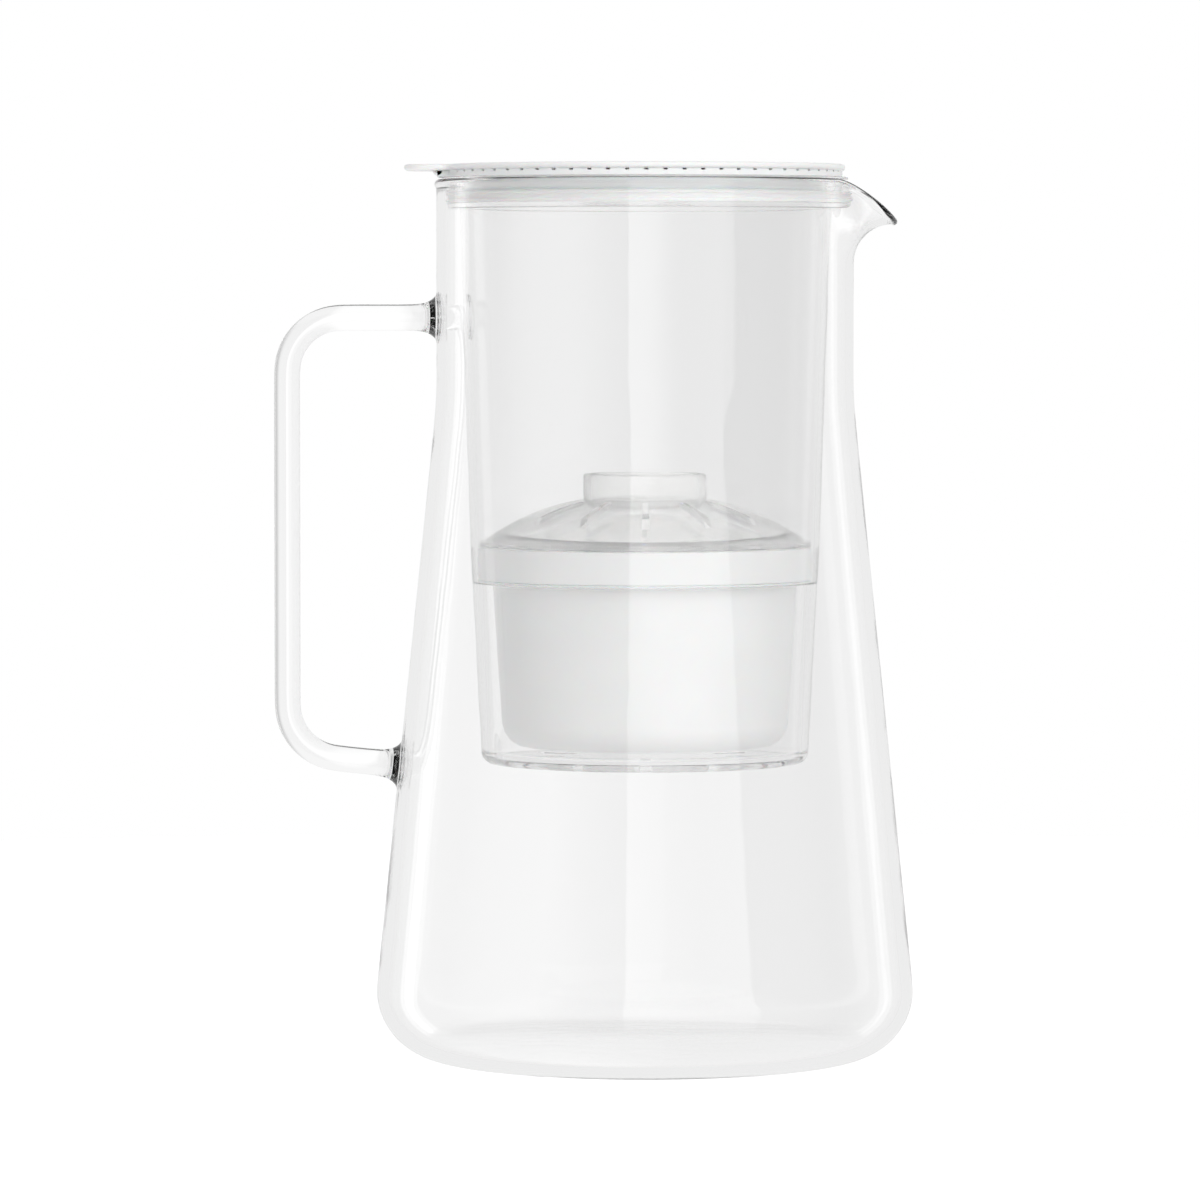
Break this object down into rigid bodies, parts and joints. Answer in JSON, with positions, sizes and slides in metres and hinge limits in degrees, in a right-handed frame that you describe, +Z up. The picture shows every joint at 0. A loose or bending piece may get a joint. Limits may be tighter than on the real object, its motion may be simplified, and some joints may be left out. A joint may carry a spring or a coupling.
{
  "type": "water filter pitcher",
  "caption": "Glass carafe with a spout and a rod handle; a reservoir in its neck drains through a filter cartridge under a flip lid.",
  "frame": {"origin": "centre of the carafe's flat base, on the surface it stands on", "axes": "+Z up along the carafe's axis, +X towards the spout, -X towards the handle"},
  "size_m": [0.1892, 0.159, 0.265],
  "materials": {
    "carafe_glass": "clear borosilicate glass",
    "rod_glass": "clear glass rod, fire polished",
    "clear_plastic": "clear, glossy",
    "white_plastic": "white, satin",
    "silicone": "translucent grey silicone",
    "pin_steel": "drawn steel",
    "mesh_steel": "woven mesh",
    "fleece": "needled fleece",
    "carbon": "black granules",
    "resin_beads": "amber beads"
  },
  "bodies": {
    "carafe": {"carafe_base": "carafe_glass", "carafe_flank": "carafe_glass", "carafe_neck": "carafe_glass", "carafe_spout": "carafe_glass", "carafe_handle": "rod_glass"},
    "reservoir_unit": {"reservoir_bucket": "clear_plastic", "reservoir_rim": "clear_plastic", "reservoir_gasket": "silicone"},
    "collar_unit": {"lid_collar": "white_plastic", "collar_seal": "silicone", "hinge_pin": "pin_steel"},
    "lid": {"flip_lid": "white_plastic"},
    "cartridge": {"cartridge_cup": "white_plastic", "cartridge_flange": "white_plastic", "cartridge_seal": "silicone", "cartridge_dome": "clear_plastic", "dome_grip": "clear_plastic", "inlet_mesh": "mesh_steel", "inlet_fleece": "fleece", "carbon_bed": "carbon", "media_screen": "mesh_steel", "resin_bed": "resin_beads", "outlet_fleece": "fleece", "outlet_mesh": "mesh_steel"}
  },
  "joints": [
    {"name": "reservoir_lift", "type": "slide", "parent": "carafe", "child": "reservoir_unit", "axis": [0, 0, 1], "range_m": [0, 0.2]},
    {"name": "collar_lift", "type": "slide", "parent": "reservoir_unit", "child": "collar_unit", "axis": [0, 0, 1], "range_m": [0, 0.06]},
    {"name": "lid_flip", "type": "hinge", "parent": "collar_unit", "child": "lid", "pos_m": [-0.0611, 0, 0.2625], "axis": [0, -1, 0], "range_deg": [0, 70]},
    {"name": "cartridge_lift", "type": "slide", "parent": "reservoir_unit", "child": "cartridge", "axis": [0, 0, 1], "range_m": [0, 0.085]}
  ]
}
